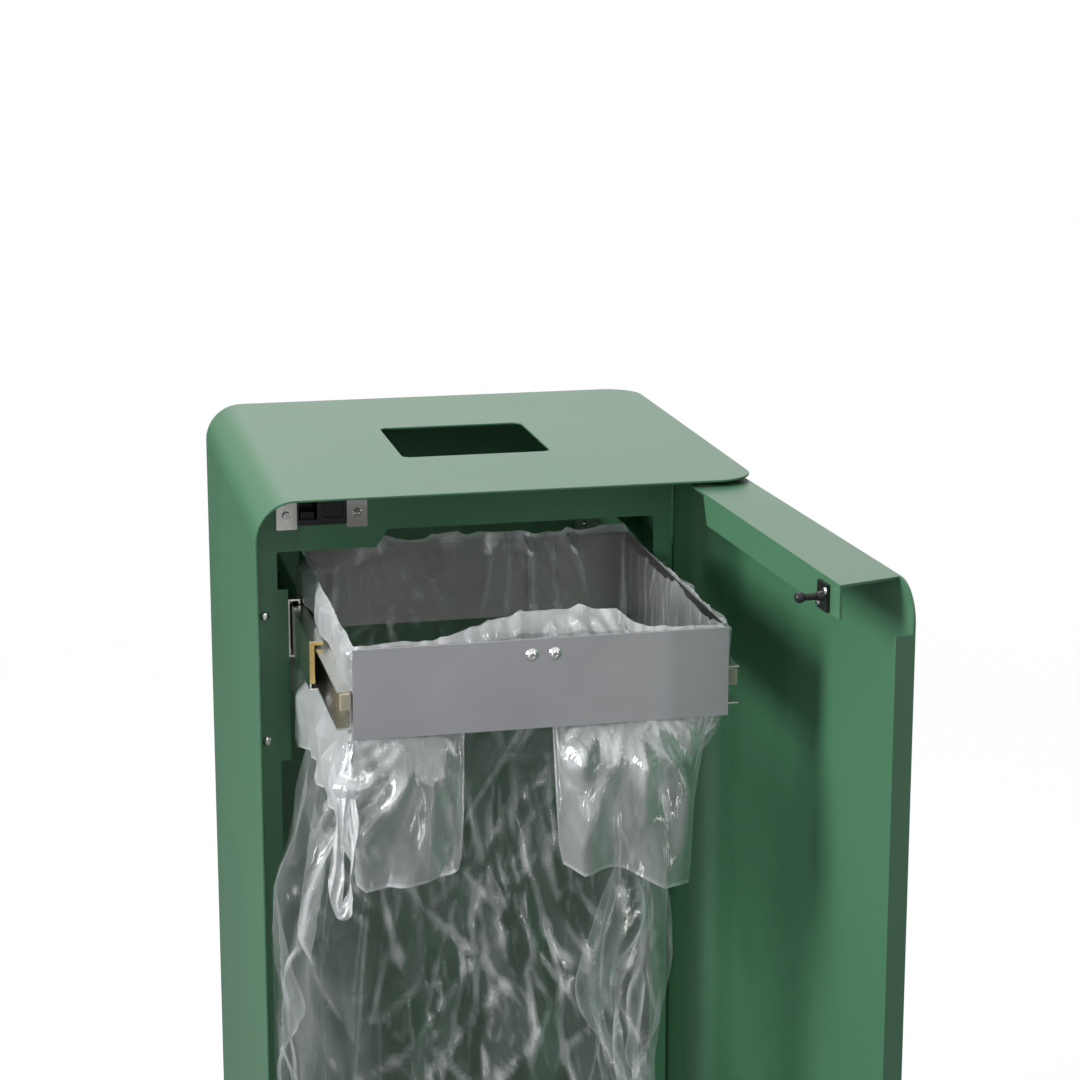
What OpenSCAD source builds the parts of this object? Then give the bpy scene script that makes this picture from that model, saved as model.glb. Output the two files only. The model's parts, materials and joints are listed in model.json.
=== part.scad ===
// Litter bin for bagged dog waste: a folded sheet-metal housing, a full-height swing door
// on two pivot pins, and a bag frame that pulls out on telescopic slides.
// Millimetres. Origin: centre of the base plate's underside. +Z up, the door faces -Y.
// The door stands open and the bag frame is pulled out, as for changing the bag.

/* [Housing] */
// Outside width of the bin
bin_w = 450; // [420:5:560]
// Outside depth of the bin
bin_d = 450; // [420:5:560]
// Overall height
bin_h = 1000; // [800:10:1250]
// Thickness of the housing and door sheet
sheet_t = 2; // [1.5:0.5:2.5]
// Outside radius of the large bends and of the top's rounded corners
corner_r = 36; // [30:1:38]
// Side of the square deposit hole in the top
hole_w = 140; // [100:5:180]
// Corner radius of the deposit hole
hole_corner_r = 8; // [4:1:20]
// Thickness of the base plate
base_t = 4; // [3:1:6]
// Spacing of the ground anchor holes, both ways
anchor_pitch = 300; // [200:10:340]
// Diameter of the ground anchor holes
anchor_d = 12; // [9:1:16]

/* [Door] */
// Gap between the top sheet and the door's top flange
door_top_gap = 4; // [3:0.5:6]
// Gap between the left wall and the door's free edge
door_left_gap = 6; // [4:0.5:10]
// Gap between the base plate and the door's lower flange
door_foot_gap = 11; // [10:0.5:16]
// Depth of the door's top and lower flanges
door_flange_d = 56; // [52:1:58]
// How far the lip hangs below the door's top face
door_lip_drop = 27; // [20:1:32]
// Depth of the return along the door's free edge
door_return_d = 16; // [8:1:24]
// Length of the door's short side, back from the front face
door_side_d = 51; // [48:1:54]
// Angle at which the door stands open
door_open_angle = 92.5; // [80:0.5:94]
// Pivot axis, in from the bin's right face
pivot_inset = 42; // [40:1:46]
// Pivot axis, back from the bin's front face
pivot_setback = 38; // [36:1:42]
// Diameter of the pivot pins
pin_d = 10; // [8:1:12]

/* [Front frame] */
// Recess of the front frame behind the bin's front face
frame_setback = 65; // [62:1:75]
// Height of the frame's top rail below the bin's top
rail_drop = 45; // [44:1:60]
// Height of the deeper rail part behind the catch
catch_rail_drop = 61; // [58:1:72]
// Face width of the left stile
stile_w_left = 24; // [20:1:28]
// Face width of the right stile
stile_w_right = 16; // [12:1:18]
// Height of the sill above the base plate
sill_h = 20; // [15:1:30]

/* [Bag frame and slides] */
// Height of the bag frame and its front plate
frame_h = 75; // [66:1:85]
// Bag frame's top edge below the bin's top
frame_drop = 80; // [76:1:90]
// Sheet thickness of the bag frame
frame_t = 1.5; // [1:0.5:2]
// Front face of the bag frame when pushed in, behind the bin's front face
frame_closed_y = 106; // [100:1:125]
// How far the bag frame stands out in front of the bin when pulled out
frame_out = 190; // [120:5:195]
// Gap between the pushed-in bag frame and the back sheet
frame_rear_gap = 6; // [5:1:20]
// Height of the telescopic slides
slide_h = 53; // [51:1:57]
// Thickness of one telescopic slide
slide_t = 20; // [19:0.5:22]
// Room between the left wall's outer face and the left slide bracket
left_room = 33.5; // [30:0.5:40]
// Height of the bag's underside above the ground
bag_foot = 60; // [40:5:150]

/* [Catch] */
// Catch socket's centre, from the bin's left face
catch_x = 54; // [52:0.5:60]
// Catch socket's centre below the bin's top
catch_drop = 22; // [21:0.5:23]
// Diameter of the ball on the door's stud
ball_d = 9; // [8:0.5:9.5]
// Width of the catch body between its metal tabs
catch_body_w = 44; // [40:1:50]

/* [Hidden] */
$fn = 64;
eps = 0.01;
green = [0.36, 0.60, 0.45];
steel = [0.62, 0.63, 0.64];
zinc = [0.72, 0.72, 0.70];
black = [0.08, 0.08, 0.08];

// running fit of a pin in its bush, radial
run_gap = 0.05;
// radial clearance of a screw in its hole
screw_gap = 0.2;
// clearance of parts that pass each other
pass_gap = 0.3;

// housing
top_z = bin_h - sheet_t;
inner_r = corner_r - sheet_t;
back_y = bin_d - sheet_t;
right_x = bin_w - sheet_t;
weld_flange_w = 14;

// door, given closed; pivot and bend centres in plan
pivot = [bin_w - pivot_inset, pivot_setback];
bend_centre = [bin_w - corner_r, corner_r];
door_x0 = sheet_t + door_left_gap;
door_z0 = base_t + door_foot_gap;
door_z1 = top_z - door_top_gap;
door_corner_r = corner_r - door_left_gap;
door_corner_x = door_x0 + door_corner_r;
lip_end_x = 351;
lip_cut = 12;
bush_r = pin_d / 2 + 2;
return_top = bin_h - 45;
// the side sheet starts where the swinging corner and side have passed its inner face
side_swing = max(pow(pivot_inset, 2) + pow(door_side_d - pivot_setback, 2),
    pow(corner_r + norm(pivot - bend_centre), 2));
side_start = pivot_setback + sqrt(side_swing - pow(pivot_inset - sheet_t, 2)) + 1;

// bag frame in plan, pushed in
right_room = pivot_inset + door_side_d - pivot_setback + 6;
frame_x0 = left_room + sheet_t + slide_t;
frame_x1 = bin_w - right_room - sheet_t - slide_t;
frame_d = back_y - frame_rear_gap - frame_closed_y;
frame_z1 = bin_h - frame_drop;
frame_z0 = frame_z1 - frame_h;
travel = frame_closed_y + frame_out;
frame_open_y = -frame_out;

// slides: s runs from the bracket towards the bag frame
slide_z = frame_z1 - frame_h / 2 - 15;
slide_wall = 1.5;
outer_y = frame_setback + 2 * sheet_t;
outer_len = bin_d - outer_y - 10;
outer_s1 = 11;
outer_lip = 2.6;
middle_y = frame_closed_y - 9;
middle_len = outer_len - 38;
middle_s0 = 3;
middle_s1 = 15;
middle_half = slide_h / 2 - 5.1;
inner_y = frame_closed_y + 10;
inner_len = outer_len - 51;
inner_s0 = slide_t - 12;
inner_half = middle_half - 5.1;
cage_gap = 0.2;
cage_h = slide_h / 2 - slide_wall - middle_half - cage_gap;
inner_cage_h = middle_half - slide_wall - inner_half - cage_gap;
slide_x_left = left_room + sheet_t;
slide_x_right = bin_w - right_room - sheet_t;
outer_screw_ys = [42, 170, 330];
inner_screw_ys = [25, 130, 250];
slide_screw_r = 2;

// frame
stile_x0 = sheet_t + stile_w_left;
stile_x1 = slide_x_right - stile_w_right;
frame_y1 = frame_setback + sheet_t;
flange_d = 20;
sill_z = base_t + sill_h;
rail_z = bin_h - rail_drop;
catch_rail_z = bin_h - catch_rail_drop;
step_x0 = 115;
step_x1 = 126;
notch_z0 = slide_z - slide_h / 2 - 6;
notch_z1 = slide_z + slide_h / 2 + 7;
bracket_z0 = slide_z - slide_h / 2 - 6;
bracket_z1 = slide_z + slide_h / 2 + 10;
frame_screw_x = 14;
frame_screw_zs = [bin_h - 119, bin_h - 235];
frame_screw_r = 2.5;

// front plate screws
plate_screw_pitch = 19.2;
plate_screw_drop = 13;
plate_screw_r = 2.5;
plate_t = 2;

// catch
catch_z = bin_h - catch_drop;
catch_y0 = frame_setback - 4;
catch_depth = 34;
catch_half_h = 15;
catch_x0 = catch_x - 9.4;
catch_x1 = catch_x0 + catch_body_w;
tab_w = 17;
tab_t = 1.5;
tab_h = 36;
tab_z0 = bin_h - 41;
tab_screw_z = bin_h - 28;
tab_screw_r = 2;
socket_w = 16;
socket_h = 20;
socket_d = 28;
jaw_gap = 0.3;
ball_y = frame_setback + 12;
stud_plate_t = 3;
stud_plate_w = 20;
stud_plate_h = 24;
stud_screw_pitch = 15;
stud_screw_r = 1.5;

// moves a piece from the bin's front left corner to the base centre
module placed() {
    translate([-bin_w / 2, -bin_d / 2, 0]) children();
}

// swings a closed door piece to its open place
module swung() {
    placed() translate([pivot[0], pivot[1], 0]) rotate([0, 0, door_open_angle])
        translate([-pivot[0], -pivot[1], 0]) children();
}

// block between two opposite corners
module slab(low, high) {
    translate(low) cube(high - low);
}

// quarter of a flat ring, in the quadrant given by the two signs
module quarter_ring(centre, radius, wall, side_x, side_y) {
    translate(centre) intersection() {
        difference() {
            circle(r = radius);
            circle(r = radius - wall);
        }
        translate([side_x > 0 ? 0 : -radius, side_y > 0 ? 0 : -radius]) square(radius);
    }
}

// what is cut from a square corner to leave a round one
module corner_waste(centre, radius, side_x, side_y) {
    translate(centre) difference() {
        translate([side_x > 0 ? 0 : -radius - 1, side_y > 0 ? 0 : -radius - 1]) square(radius + 1);
        circle(r = radius);
    }
}

// upright prism of a plan outline
module upright(z0, z1) {
    translate([0, 0, z0]) linear_extrude(z1 - z0) children();
}

// sheet standing in the X-Z plane, from an outline drawn in X and Z
module standing(y0, y1) {
    translate([0, y1, 0]) rotate([90, 0, 0]) linear_extrude(y1 - y0) children();
}

// screw along +Y with its head on the plane y = 0 and the shank behind it
module domed_screw(head_r, head_h, shank_r, shank_len) {
    dome_r = (head_r * head_r + head_h * head_h) / (2 * head_h);
    difference() {
        union() {
            intersection() {
                translate([0, dome_r - head_h, 0]) sphere(r = dome_r);
                rotate([90, 0, 0]) cylinder(r = head_r, h = head_h);
            }
            rotate([-90, 0, 0]) cylinder(r = shank_r, h = shank_len);
        }
        translate([0, -head_h + 1.2, 0]) rotate([90, 30, 0]) cylinder(r = head_r * 0.38, h = head_h, $fn = 6);
    }
}

module cross_screw(head_r, head_h, shank_r, shank_len) {
    difference() {
        union() {
            rotate([90, 0, 0]) cylinder(r1 = head_r, r2 = head_r * 0.8, h = head_h);
            rotate([-90, 0, 0]) cylinder(r = shank_r, h = shank_len);
        }
        for (turn = [0, 90]) rotate([0, turn, 0])
            slab([-head_r * 0.6, -head_h - 1, -0.5], [head_r * 0.6, -head_h * 0.35, 0.5]);
    }
}

module hex_nut(flats_r, height, bore_r) {
    rotate([-90, 0, 0]) difference() {
        cylinder(r = flats_r, h = height, $fn = 6);
        translate([0, 0, -1]) cylinder(r = bore_r, h = height + 2);
    }
}

// hole along Y
module hole_y(x, z, radius, y0, y1) {
    translate([x, y0, z]) rotate([-90, 0, 0]) cylinder(r = radius, h = y1 - y0);
}

// ---- housing ----

// left wall and top: one sheet bent over the rounded top left edge
module housing_wrap() color(green) placed() difference() {
    standing(0, bin_d) union() {
        square([sheet_t, bin_h - corner_r]);
        translate([corner_r, top_z]) square([bin_w - corner_r, sheet_t]);
        quarter_ring([corner_r, bin_h - corner_r], corner_r, sheet_t, -1, 1);
    }
    upright(top_z - 1, bin_h + 1) {
        corner_waste(bend_centre, corner_r, 1, -1);
        corner_waste([bin_w - corner_r, bin_d - corner_r], corner_r, 1, 1);
        translate([bin_w / 2, bin_d / 2]) deposit_outline();
    }
}

module deposit_outline() {
    flat = hole_w - 2 * hole_corner_r;
    square([hole_w, flat], center = true);
    square([flat, hole_w], center = true);
    for (sx = [-1, 1], sy = [-1, 1]) translate([sx * flat / 2, sy * flat / 2]) circle(r = hole_corner_r);
}

// back and right wall: one sheet round the rear right corner, with weld flanges
module rear_shell() color(green) placed() union() {
    difference() {
        upright(0, top_z) {
            translate([sheet_t, back_y]) square([bin_w - corner_r - sheet_t, sheet_t]);
            quarter_ring([bin_w - corner_r, bin_d - corner_r], corner_r, sheet_t, 1, 1);
            translate([right_x, side_start]) square([sheet_t, bin_d - corner_r - side_start]);
        }
        standing(back_y - 1, bin_d + 1) corner_waste([corner_r, bin_h - corner_r], inner_r, -1, 1);
    }
    slab([sheet_t, back_y - weld_flange_w, base_t], [2 * sheet_t, back_y + eps, bin_h - corner_r]);
    slab([corner_r, back_y - weld_flange_w, top_z - sheet_t], [bin_w - corner_r, back_y + eps, top_z]);
    slab([right_x - weld_flange_w, frame_setback + 30, top_z - sheet_t],
        [right_x + eps, bin_d - corner_r, top_z]);
}

module base_plate() color(green) placed() difference() {
    slab([sheet_t, sheet_t, 0], [right_x, back_y, base_t]);
    upright(-1, base_t + 1) {
        corner_waste(bend_centre, inner_r, 1, -1);
        corner_waste([bin_w - corner_r, bin_d - corner_r], inner_r, 1, 1);
    }
    for (sx = [-1, 1], sy = [-1, 1])
        translate([bin_w / 2 + sx * anchor_pitch / 2, bin_d / 2 + sy * anchor_pitch / 2, -1])
            cylinder(d = anchor_d, h = base_t + 2);
    translate([pivot[0], pivot[1], -1]) cylinder(d = pin_d - 2 + 2 * run_gap, h = base_t + 2);
}

// portal behind the door: rail, stiles and sill, with flanges to the housing
module front_frame() color(green) placed() difference() {
    union() {
        standing(frame_setback, frame_y1) difference() {
            union() {
                translate([sheet_t, base_t]) square([corner_r - sheet_t, bin_h - corner_r - base_t]);
                translate([corner_r, base_t]) square([slide_x_right - corner_r, top_z - base_t]);
                translate([corner_r, bin_h - corner_r]) circle(r = inner_r);
            }
            polygon([[stile_x0, sill_z], [stile_x1, sill_z], [stile_x1, rail_z],
                [step_x1, rail_z], [step_x0, catch_rail_z], [stile_x0, catch_rail_z]]);
            translate([catch_x0 - 1.6, catch_z - catch_half_h - 1])
                square([catch_body_w + 3.2, 2 * catch_half_h + 2]);
            translate([stile_x1 - 1, notch_z0]) square([stile_w_right + 2, notch_z1 - notch_z0]);
        }
        slab([sheet_t, frame_y1 - eps, base_t], [2 * sheet_t, frame_y1 + flange_d, bin_h - corner_r - 10]);
        slab([catch_x1 + tab_w + 10, frame_y1 - eps, top_z - sheet_t], [slide_x_right, frame_y1 + flange_d, top_z]);
        slab([2 * sheet_t, frame_y1 - eps, base_t], [slide_x_right, frame_y1 + flange_d, base_t + sheet_t]);
        slab([slide_x_right - sheet_t, frame_y1 - eps, base_t], [slide_x_right, frame_y1 + 25, notch_z0]);
        slab([slide_x_right - sheet_t, frame_y1 - eps, notch_z1], [slide_x_right, frame_y1 + 25, top_z]);
    }
    for (z = frame_screw_zs) hole_y(frame_screw_x, z, frame_screw_r + screw_gap, frame_setback - 1, frame_y1 + 1);
    for (x = tab_screw_xs()) hole_y(x, tab_screw_z, tab_screw_r + screw_gap, frame_setback - 1, frame_y1 + 1);
}

module frame_screws() color(steel) placed()
    for (z = frame_screw_zs) translate([frame_screw_x, frame_setback, z])
        domed_screw(4.75, 2.75, frame_screw_r, 2 * sheet_t + 5);

module frame_nuts() color(zinc) placed()
    for (z = frame_screw_zs) translate([frame_screw_x, frame_y1 + sheet_t, z])
        hex_nut(4.6, 4, frame_screw_r + run_gap);

// ---- slide brackets ----

// folded carrier of the left slide, screwed to the left stile and fixed to the back
module slide_bracket_left() color(green) placed() difference() {
    union() {
        slab([left_room, frame_y1, bracket_z0], [slide_x_left, back_y, bracket_z1]);
        slab([8, frame_y1, frame_screw_zs[1] - 20], [slide_x_left, frame_y1 + sheet_t, bracket_z1]);
        slab([10, back_y - sheet_t, bracket_z0], [slide_x_left, back_y, bracket_z1]);
    }
    for (z = frame_screw_zs) hole_y(frame_screw_x, z, frame_screw_r + screw_gap, frame_y1 - 1, frame_y1 + sheet_t + 1);
    for (y = outer_screw_ys) translate([left_room - 1, outer_y + y, slide_z]) rotate([0, 90, 0])
        cylinder(r = slide_screw_r + screw_gap, h = sheet_t + 2);
}

// folded carrier of the right slide, on the right stile's flange, the side wall and the back
module slide_bracket_right() color(green) placed() difference() {
    arm_y = frame_y1 + 29;
    union() {
        slab([slide_x_right, frame_y1, bracket_z0], [slide_x_right + sheet_t, back_y, bracket_z1]);
        slab([slide_x_right, frame_y1, bracket_z0 - 20], [slide_x_right + sheet_t, frame_y1 + 25, bracket_z1 + 20]);
        slab([slide_x_right, back_y - sheet_t, bracket_z0], [slide_x_right + 25, back_y, bracket_z1]);
        slab([slide_x_right, arm_y, bracket_z0], [right_x, arm_y + sheet_t, bracket_z1]);
        slab([right_x - sheet_t, arm_y, bracket_z0], [right_x, arm_y + flange_d, bracket_z1]);
    }
    for (y = outer_screw_ys) translate([slide_x_right - 1, outer_y + y, slide_z]) rotate([0, 90, 0])
        cylinder(r = slide_screw_r + screw_gap, h = sheet_t + 2);
}

// ---- telescopic slides, drawn for the left side at s = 0 ----

// puts a left slide piece at its side; the right one is its mirror image
module at_slide(side, y) {
    placed() if (side < 0) translate([slide_x_left, y, slide_z]) children();
    else translate([slide_x_right, y, slide_z]) mirror([1, 0, 0]) children();
}

// channel with its web at s0 to s0 + wall and its flanges reaching to s1
module channel(s0, s1, half, len) {
    slab([s0, 0, -half], [s0 + slide_wall, len, half]);
    slab([s0, 0, half - slide_wall], [s1, len, half]);
    slab([s0, 0, -half], [s1, len, slide_wall - half]);
}

module slide_outer(side) color(zinc) at_slide(side, outer_y) difference() {
    half = slide_h / 2;
    union() {
        channel(0, outer_s1, half, outer_len);
        for (turn = [0, 180]) mirror([0, 0, turn / 180])
            slab([outer_s1 - slide_wall, 0, half - slide_wall - outer_lip], [outer_s1, outer_len, half - eps]);
    }
    for (y = outer_screw_ys) translate([-1, y, 0]) rotate([0, 90, 0])
        cylinder(r = slide_screw_r + screw_gap, h = slide_wall + 2);
}

module slide_middle(side) color(zinc) at_slide(side, middle_y - travel / 2)
    channel(middle_s0, middle_s1, middle_half, middle_len);

// the inner member opens towards the bracket and is screwed to the bag frame
module slide_inner(side) color(zinc) at_slide(side, inner_y - travel) difference() {
    translate([slide_t, 0, 0]) mirror([1, 0, 0]) channel(0, slide_t - inner_s0, inner_half, inner_len);
    for (y = inner_screw_ys) translate([slide_t - slide_wall - 1, y, 0]) rotate([0, 90, 0])
        cylinder(r = slide_screw_r + screw_gap, h = slide_wall + 2);
}

module slide_outer_left() slide_outer(-1);
module slide_outer_right() slide_outer(1);
module slide_middle_left() slide_middle(-1);
module slide_middle_right() slide_middle(1);
module slide_inner_left() slide_inner(-1);
module slide_inner_right() slide_inner(1);

// strip with a row of balls, lying on a flange at height z
module ball_cage(s, z, height, len) {
    slab([s, 0, z], [s + 1, len, z + height]);
    for (y = [8 : 12 : len - 4]) translate([s + 1 + height / 2 - 0.4, y, z + height / 2]) sphere(d = height, $fn = 24);
}

module middle_ball_cages() color(zinc) for (side = [-1, 1])
    at_slide(side, middle_y - travel / 2 + middle_len - 190) for (flip = [0, 1]) mirror([0, 0, flip])
        ball_cage(5, middle_half, cage_h, 180);

module inner_ball_cages() color(zinc) for (side = [-1, 1])
    at_slide(side, inner_y - travel + inner_len - 170) for (flip = [0, 1]) mirror([0, 0, flip])
        ball_cage(9.5, inner_half, inner_cage_h, 160);

// countersunk screws from the outer member's web into the bracket
module outer_slide_screws() color(steel) for (side = [-1, 1], y = outer_screw_ys)
    at_slide(side, outer_y + y) {
        translate([slide_wall, 0, 0]) rotate([0, 90, 0]) cylinder(r1 = 3.8, r2 = 3, h = 1.2);
        translate([-sheet_t - 2, 0, 0]) rotate([0, 90, 0]) cylinder(r = slide_screw_r, h = slide_wall + sheet_t + 2.2);
    }

// screws from the inner member's web into the bag frame
module inner_slide_screws() color(steel) for (side = [-1, 1], y = inner_screw_ys)
    at_slide(side, inner_y - travel + y) {
        translate([slide_t - slide_wall - 1.2, 0, 0]) rotate([0, 90, 0]) cylinder(r1 = 3, r2 = 3.8, h = 1.2);
        translate([slide_t - slide_wall - 0.2, 0, 0]) rotate([0, 90, 0])
            cylinder(r = slide_screw_r, h = slide_wall + frame_t + 0.5);
    }

// bent end stop on the middle member's front end
module middle_stop(side) color([0.80, 0.72, 0.42]) at_slide(side, middle_y - travel / 2) union() {
    slab([middle_s0, -1.5, 6 - middle_half], [inner_s0 - 0.6, 0, middle_half]);
    slab([middle_s0 + slide_wall, -1.5, -8], [middle_s0 + slide_wall + 1.5, 26, 8]);
    slab([middle_s0, -1.5, middle_half - 3], [middle_s1, 0, middle_half]);
}
module middle_stop_left() middle_stop(-1);
module middle_stop_right() middle_stop(1);

// plastic disconnect lever inside the inner member's front end
module release_lever(side) color([0.88, 0.86, 0.78]) at_slide(side, frame_open_y + 6) union() {
    slab([inner_s0 + 2.4, 0, 1], [slide_t - slide_wall, 3, inner_half - slide_wall - 0.4]);
    slab([slide_t - slide_wall - 2.5, 0, 1], [slide_t - slide_wall, 22, inner_half - slide_wall - 0.4]);
}
module release_lever_left() release_lever(-1);
module release_lever_right() release_lever(1);

// ---- bag frame ----

module bag_frame() color(steel) placed() translate([0, frame_open_y, 0]) difference() {
    slab([frame_x0, plate_t, frame_z0], [frame_x1, frame_d, frame_z1]);
    slab([frame_x0 + frame_t, plate_t + frame_t, frame_z0 - 1], [frame_x1 - frame_t, frame_d - frame_t, frame_z1 + 1]);
    upright(frame_z0 - 1, frame_z1 + 1) {
        corner_waste([frame_x0 + 3, frame_d - 3], 3, -1, 1);
        corner_waste([frame_x1 - 3, frame_d - 3], 3, 1, 1);
    }
    for (x = plate_screw_xs()) hole_y(x, frame_z1 - plate_screw_drop, plate_screw_r + screw_gap, 0, plate_t + frame_t + 1);
    for (y = inner_screw_ys, x = [frame_x0, frame_x1 - frame_t])
        translate([x - 1, y + inner_y - frame_closed_y, slide_z]) rotate([0, 90, 0])
            cylinder(r = slide_screw_r + screw_gap, h = frame_t + 2);
}

// front plate that covers the bag frame's front wall
module frame_front_plate() color(steel) placed() translate([0, frame_open_y, 0]) difference() {
    slab([frame_x0, 0, frame_z0], [frame_x1, plate_t, frame_z1]);
    for (x = plate_screw_xs()) hole_y(x, frame_z1 - plate_screw_drop, plate_screw_r + screw_gap, -1, plate_t + 1);
}

function plate_screw_xs() = [for (s = [-1, 1]) (frame_x0 + frame_x1) / 2 + s * plate_screw_pitch / 2];

module plate_screws() color(steel) placed() for (x = plate_screw_xs())
    translate([x, frame_open_y, frame_z1 - plate_screw_drop])
        domed_screw(5.5, 3, plate_screw_r, plate_t + frame_t + 4.5);

module plate_nuts() color(zinc) placed() for (x = plate_screw_xs())
    translate([x, frame_open_y + plate_t + frame_t, frame_z1 - plate_screw_drop])
        hex_nut(4.6, 4, plate_screw_r + run_gap);

// bag: a pouch inside the bag frame whose rim lies over the frame's top edge
module bin_liner() color([0.85, 0.90, 0.92]) placed() translate([0, frame_open_y, 0]) {
    film = 1.2;
    front = plate_t + frame_t + 5.5;
    low = [frame_x0 + frame_t + pass_gap, front, bag_foot];
    high = [frame_x1 - frame_t - pass_gap, frame_d - frame_t - pass_gap, frame_z1 + pass_gap + film];
    difference() {
        union() {
            slab(low, high);
            slab([frame_x0, plate_t, frame_z1 + pass_gap], [frame_x1, frame_d, frame_z1 + pass_gap + film]);
        }
        slab(low + [film, film, film], [high[0] - film, high[1] - film, high[2] + 1]);
    }
}

// ---- door ----

// plan of the door's flanges, from the slanted free end to the hinge end
module flange_outline(free_front, free_back) {
    difference() {
        union() {
            polygon([[free_front, 0], [bin_w - corner_r, 0], [bin_w - corner_r, door_side_d],
                [pivot[0] - 8, door_flange_d], [free_back, door_flange_d]]);
            translate([bin_w - corner_r, corner_r]) square([corner_r, door_side_d - corner_r]);
            intersection() {
                translate(bend_centre) circle(r = corner_r);
                translate([bin_w - corner_r, 0]) square(corner_r);
            }
        }
        translate(pivot) circle(r = bush_r + run_gap);
    }
}

// folded door: front panel, round corner with a short side, flanges, lip and edge return
module door_shell() color(green) swung() union() {
    difference() {
        upright(door_z0, door_z1) {
            translate([door_x0, 0]) square([bin_w - corner_r - door_x0, sheet_t]);
            quarter_ring(bend_centre, corner_r, sheet_t, 1, -1);
            translate([right_x, corner_r]) square([sheet_t, door_side_d - corner_r]);
        }
        standing(-1, sheet_t + 1) corner_waste([door_corner_x, door_z1 - door_corner_r], door_corner_r, -1, 1);
    }
    upright(door_z1 - sheet_t, door_z1) flange_outline(door_corner_x, door_x0 + 16);
    upright(door_z0, door_z0 + sheet_t) flange_outline(door_x0, door_x0 + 16);
    standing(door_flange_d - sheet_t, door_flange_d) polygon([
        [door_x0 + 16, door_z1], [lip_end_x, door_z1],
        [lip_end_x - lip_cut, door_z1 - door_lip_drop], [door_x0 + 16, door_z1 - door_lip_drop]]);
    slab([door_x0, 0, door_z0], [door_x0 + sheet_t, door_return_d, return_top]);
}

// plate with a ball on a neck, on the back of the door's lip
module ball_stud() color(black) swung() translate([catch_x, door_flange_d, catch_z]) {
    neck = ball_y - door_flange_d;
    difference() {
        slab([-stud_plate_w / 2, 0, -stud_plate_h / 2 + 1], [stud_plate_w / 2, stud_plate_t, stud_plate_h / 2 - 1]);
        for (s = [-1, 1]) hole_y(s * stud_screw_pitch / 2, -s * 6, stud_screw_r + screw_gap, -1, stud_plate_t + 1);
    }
    rotate([-90, 0, 0]) cylinder(r = 2.8, h = neck);
    rotate([-90, 0, 0]) cylinder(r1 = 5.5, r2 = 3.4, h = stud_plate_t + 4);
    translate([0, neck, 0]) sphere(d = ball_d);
}

module stud_screws() color(zinc) swung() for (s = [-1, 1])
    translate([catch_x + s * stud_screw_pitch / 2, door_flange_d + stud_plate_t, catch_z - s * 6])
        rotate([0, 0, 180]) cross_screw(2.8, 1.6, stud_screw_r, stud_plate_t - 0.1);

// ---- catch ----

function tab_screw_xs() = [catch_x0 - tab_t - tab_w / 2 + 0.5, catch_x1 + tab_t + tab_w / 2 - 0.5];

// hat-shaped strap that carries the catch body in the rail's window
module catch_bracket() color(zinc) placed() difference() {
    gap = 0.1;
    x0 = catch_x0 - gap;
    x1 = catch_x1 + gap;
    y1 = catch_y0 + catch_depth + gap;
    y0 = frame_setback - tab_t;
    strap_z0 = catch_z - catch_half_h;
    strap_z1 = catch_z + catch_half_h;
    union() {
        slab([x0 - tab_t - tab_w + eps, y0, tab_z0], [x0, frame_setback, tab_z0 + tab_h]);
        slab([x1, y0, tab_z0], [x1 + tab_t + tab_w - eps, frame_setback, tab_z0 + tab_h]);
        slab([x0 - tab_t, y0, strap_z0], [x0, y1 + tab_t, strap_z1]);
        slab([x1, y0, strap_z0], [x1 + tab_t, y1 + tab_t, strap_z1]);
        slab([x0 - tab_t, y1, strap_z0], [x1 + tab_t, y1 + tab_t, strap_z1]);
    }
    for (x = tab_screw_xs()) hole_y(x, tab_screw_z, tab_screw_r + screw_gap, y0 - 1, frame_setback + 1);
}

module catch_body() color(black) placed() difference() {
    slab([catch_x0, catch_y0, catch_z - catch_half_h], [catch_x1, catch_y0 + catch_depth, catch_z + catch_half_h]);
    slab([catch_x - socket_w / 2, catch_y0 - 1, catch_z - socket_h / 2],
        [catch_x + socket_w / 2, catch_y0 + socket_d, catch_z + socket_h / 2]);
    slab([catch_x + socket_w / 2 + 6, catch_y0 - 1, catch_z - 9], [catch_x1 - 3, catch_y0 + 2.5, catch_z + 9]);
}

// two sprung jaws that close behind the ball
module catch_jaws() color([0.2, 0.2, 0.2]) placed() for (flip = [0, 1])
    translate([catch_x, catch_y0 + 7, catch_z]) mirror([0, 0, flip]) standing(0, 18)
        polygon([[-6, ball_d / 2 + jaw_gap], [6, ball_d / 2 + jaw_gap], [6, socket_h / 2], [-6, socket_h / 2]]);

module catch_screws() color(zinc) placed() for (x = tab_screw_xs())
    translate([x, frame_setback - tab_t, tab_screw_z]) cross_screw(4, 2.2, tab_screw_r, tab_t + sheet_t + 4);

// ---- pivots ----

// pin hung from a disc under the top sheet
module upper_pivot_pin() color(steel) placed() translate([pivot[0], pivot[1], 0]) {
    translate([0, 0, top_z - 1.6]) cylinder(r = 14, h = 1.6);
    translate([0, 0, door_z1 - 10]) cylinder(d = pin_d, h = top_z - 1 - door_z1 + 10);
}

// pin on a boss that stands on the base plate and is riveted through it
module lower_pivot_pin() color(steel) placed() translate([pivot[0], pivot[1], 0]) {
    translate([0, 0, base_t]) cylinder(r = 15, h = door_foot_gap - 2);
    translate([0, 0, base_t]) cylinder(d = pin_d, h = door_foot_gap + 10);
    cylinder(d = pin_d - 2, h = base_t + 1);
}

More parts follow.
